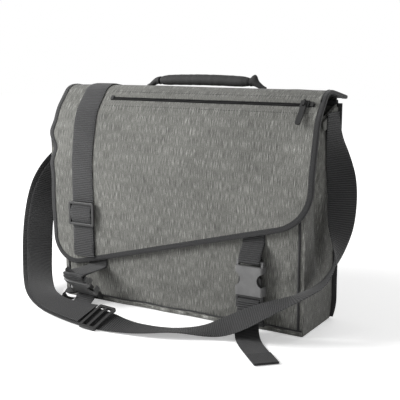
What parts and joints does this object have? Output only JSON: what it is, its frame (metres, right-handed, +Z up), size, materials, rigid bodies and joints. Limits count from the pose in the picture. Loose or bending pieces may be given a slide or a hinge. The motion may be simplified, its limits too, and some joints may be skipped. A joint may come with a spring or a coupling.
{
  "type": "messenger bag",
  "caption": "Soft messenger bag with a hinged buckled flap, a zip pocket in the flap, a padded carry handle and a long adjustable shoulder strap.",
  "frame": {"origin": "middle of the bag's base, at the height of the surface it stands on", "axes": "+X along the bag's width, towards the zip puller's side; +Y from the flap's front to the back panel; +Z up"},
  "size_m": [0.5182, 0.2114, 0.3167],
  "materials": {
    "heather_fabric": "heather grey woven polyester",
    "lining_fabric": "plain black lining cloth",
    "binding": "black ribbed binding tape",
    "webbing": "charcoal ribbed webbing",
    "handle_fabric": "black padded cloth",
    "zip_tape": "black woven zip tape",
    "zip_plastic": "black moulded nylon",
    "buckle_grey": "dark grey moulded acetal",
    "buckle_black": "black moulded acetal",
    "board": "stiff base board"
  },
  "bodies": {
    "bag_body": {"back_panel": "heather_fabric", "back_top_binding": "binding", "base_board": "board", "base_panel": "heather_fabric", "base_welt": "binding", "front_panel": "heather_fabric", "front_top_binding": "binding", "laptop_divider": "lining_fabric", "left_back_seam_binding": "binding", "left_closure_strap": "webbing", "left_closure_tail": "webbing", "left_front_seam_tape": "binding", "left_gusset": "heather_fabric", "left_plug": "buckle_black", "left_strap_anchor": "heather_fabric", "right_back_seam_binding": "binding", "right_closure_strap": "webbing", "right_front_seam_tape": "binding", "right_gusset": "heather_fabric", "right_strap_anchor": "heather_fabric", "shoulder_strap": "webbing", "shoulder_strap_return": "webbing", "strap_ring": "buckle_black", "strap_ring_loop": "webbing", "strap_ring_tab": "webbing", "strap_slider": "buckle_black"},
    "flap": {"flap_shell": "heather_fabric", "flap_lining": "lining_fabric", "flap_binding": "binding", "flap_strap": "webbing", "flap_strap_fold": "webbing", "zip_tape": "zip_tape", "zip_coil": "zip_plastic", "zip_stops": "zip_plastic", "left_handle_tab": "handle_fabric", "right_handle_tab": "handle_fabric", "left_socket": "buckle_grey", "right_socket": "buckle_grey", "left_socket_tab": "webbing", "right_socket_tab": "webbing"},
    "flap_triglide": {"flap_triglide": "buckle_black"},
    "zip_slider": {"zip_slider": "zip_plastic"},
    "zip_puller": {"zip_puller": "zip_plastic"},
    "carry_handle": {"handle_grip": "handle_fabric", "left_handle_cord": "handle_fabric", "right_handle_cord": "handle_fabric"},
    "right_plug": {"right_plug": "buckle_black"},
    "left_latch_inner": {"left_latch_arm_inner": "buckle_black"},
    "left_latch_outer": {"left_latch_arm_outer": "buckle_black"},
    "right_latch_inner": {"right_latch_arm_inner": "buckle_black"},
    "right_latch_outer": {"right_latch_arm_outer": "buckle_black"}
  },
  "joints": [
    {"name": "flap_hinge", "type": "hinge", "parent": "bag_body", "child": "flap", "pos_m": [0, 0.0475, 0.291], "axis": [-1, 0, 0], "range_deg": [0, 120]},
    {"name": "zip_slide", "type": "slide", "parent": "flap", "child": "zip_slider", "axis": [-1, 0, 0], "range_m": [0, 0.27]},
    {"name": "zip_puller_swing", "type": "hinge", "parent": "zip_slider", "child": "zip_puller", "pos_m": [0.1741, -0.03384, 0.28635], "axis": [-1, 0, 0], "range_deg": [0, 100]},
    {"name": "triglide_slide", "type": "slide", "parent": "flap", "child": "flap_triglide", "axis": [0, 0, 1], "range_m": [-0.025, 0.035]},
    {"name": "handle_swing", "type": "hinge", "parent": "flap", "child": "carry_handle", "pos_m": [0, 0.03, 0.29854], "axis": [1, 0, 0], "range_deg": [-45, 42]},
    {"name": "right_plug_release", "type": "slide", "parent": "bag_body", "child": "right_plug", "axis": [0, 0, -1], "range_m": [0, 0.026], "deforming": ["right_closure_strap"]},
    {"name": "left_latch_inner_squeeze", "type": "slide", "parent": "bag_body", "child": "left_latch_inner", "axis": [-0.9877, -0.1198, 0.1006], "range_m": [0, 0.002], "stiffness_N_per_m": 400},
    {"name": "left_latch_outer_squeeze", "type": "slide", "parent": "bag_body", "child": "left_latch_outer", "axis": [0.9877, 0.1198, -0.1006], "range_m": [0, 0.002], "stiffness_N_per_m": 400},
    {"name": "right_latch_inner_squeeze", "type": "slide", "parent": "right_plug", "child": "right_latch_inner", "axis": [1, 0, 0], "range_m": [0, 0.002], "stiffness_N_per_m": 400},
    {"name": "right_latch_outer_squeeze", "type": "slide", "parent": "right_plug", "child": "right_latch_outer", "axis": [-1, 0, 0], "range_m": [0, 0.002], "stiffness_N_per_m": 400}
  ]
}
